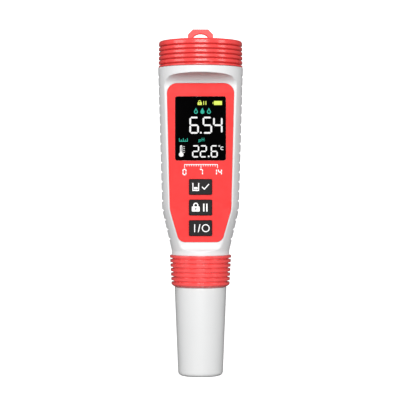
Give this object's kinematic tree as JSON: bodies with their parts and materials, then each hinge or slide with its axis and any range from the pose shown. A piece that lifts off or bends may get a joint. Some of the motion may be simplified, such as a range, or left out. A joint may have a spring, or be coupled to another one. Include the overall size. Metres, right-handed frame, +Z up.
{
  "type": "ph meter pen",
  "caption": "Upright handheld meter pen: flat keypad face with display, ridged screw cap with lanyard loop, finned collar and a probe under a pull-off cap.",
  "frame": {"origin": "middle of the flat underside of the protective cap, on the pen's axis", "axes": "+Z up along the pen's axis towards the lanyard loop, the flat display face looks along -Y"},
  "size_m": [0.0426, 0.0426, 0.1722],
  "materials": {
    "white_shell": "satin",
    "red_plate": "satin",
    "red_ring": "satin",
    "black_lens": "gloss",
    "panel_glass": "gloss",
    "backlight_white": "satin",
    "grey_rubber": "matte",
    "board_green": "satin",
    "screw_steel": "satin",
    "chip_black": "matte",
    "key_grey": "matte",
    "plunger_white": "satin",
    "tray_black": "matte",
    "cell_steel": "satin",
    "contact_nickel": "satin",
    "black_rubber": "matte",
    "pin_gold": "satin",
    "clear_glass": "gloss",
    "white_ceramic": "matte",
    "grey_cap": "satin",
    "sponge_yellow": "matte",
    "print_white": "matte",
    "screen_white": "satin",
    "screen_teal": "satin",
    "screen_yellow": "satin"
  },
  "bodies": {
    "housing": {"front_shell": "white_shell", "rear_shell": "white_shell", "face_plate": "red_plate", "display_window": "black_lens", "display_panel": "panel_glass", "display_backlight": "backlight_white", "display_connector": "grey_rubber", "circuit_board": "board_green", "board_screws": "screw_steel", "control_chip": "chip_black", "board_parts": "chip_black", "button_switches": "chip_black", "battery_tray": "tray_black", "battery_cells": "cell_steel", "plate_contact": "contact_nickel", "spring_contact": "contact_nickel", "electrode_socket": "tray_black", "socket_contacts": "pin_gold"},
    "gasket_ring": {"cap_gasket": "black_rubber"},
    "screw_cap": {"battery_cap": "red_ring"},
    "calibrate_key": {"calibrate_button": "key_grey", "calibrate_plunger": "plunger_white"},
    "hold_key": {"hold_button": "key_grey", "hold_plunger": "plunger_white"},
    "power_key": {"power_button": "key_grey", "power_plunger": "plunger_white"},
    "electrode": {"electrode_tube": "white_shell", "electrode_header": "tray_black", "header_pins": "pin_gold", "glass_bulb": "clear_glass", "silver_wire": "contact_nickel", "temperature_sensor": "screw_steel", "reference_junction": "white_ceramic", "collar_seal": "black_rubber", "cap_seal": "black_rubber"},
    "ring_nut": {"collar": "red_ring"},
    "probe_cap": {"protective_cap": "grey_cap", "soaking_sponge": "sponge_yellow"}
  },
  "joints": [
    {"name": "cap_rise", "type": "slide", "parent": "housing", "child": "gasket_ring", "axis": [0, 0, 1], "range_m": [0, 0.012]},
    {"name": "cap_turn", "type": "hinge", "parent": "gasket_ring", "child": "screw_cap", "pos_m": [0, 0, 0.16], "axis": [0, 0, 1], "range_deg": [0, 1440]},
    {"name": "electrode_drop", "type": "slide", "parent": "housing", "child": "electrode", "axis": [0, 0, -1], "range_m": [0, 0.012]},
    {"name": "collar_turn", "type": "hinge", "parent": "electrode", "child": "ring_nut", "pos_m": [0, 0, 0.052], "axis": [0, 0, -1], "range_deg": [0, 1440]},
    {"name": "probe_cap_pull", "type": "slide", "parent": "electrode", "child": "probe_cap", "axis": [0, 0, -1], "range_m": [0, 0.045]},
    {"name": "calibrate_press", "type": "slide", "parent": "housing", "child": "calibrate_key", "axis": [0, 1, 0], "range_m": [0, 0.0005], "stiffness_N_per_m": 900},
    {"name": "hold_press", "type": "slide", "parent": "housing", "child": "hold_key", "axis": [0, 1, 0], "range_m": [0, 0.0005], "stiffness_N_per_m": 900},
    {"name": "power_press", "type": "slide", "parent": "housing", "child": "power_key", "axis": [0, 1, 0], "range_m": [0, 0.0005], "stiffness_N_per_m": 900}
  ],
  "couplings": [
    {"joint": "cap_turn", "follows": "cap_rise", "rad_per_m": 2094.4},
    {"joint": "collar_turn", "follows": "electrode_drop", "rad_per_m": 2094.4}
  ]
}
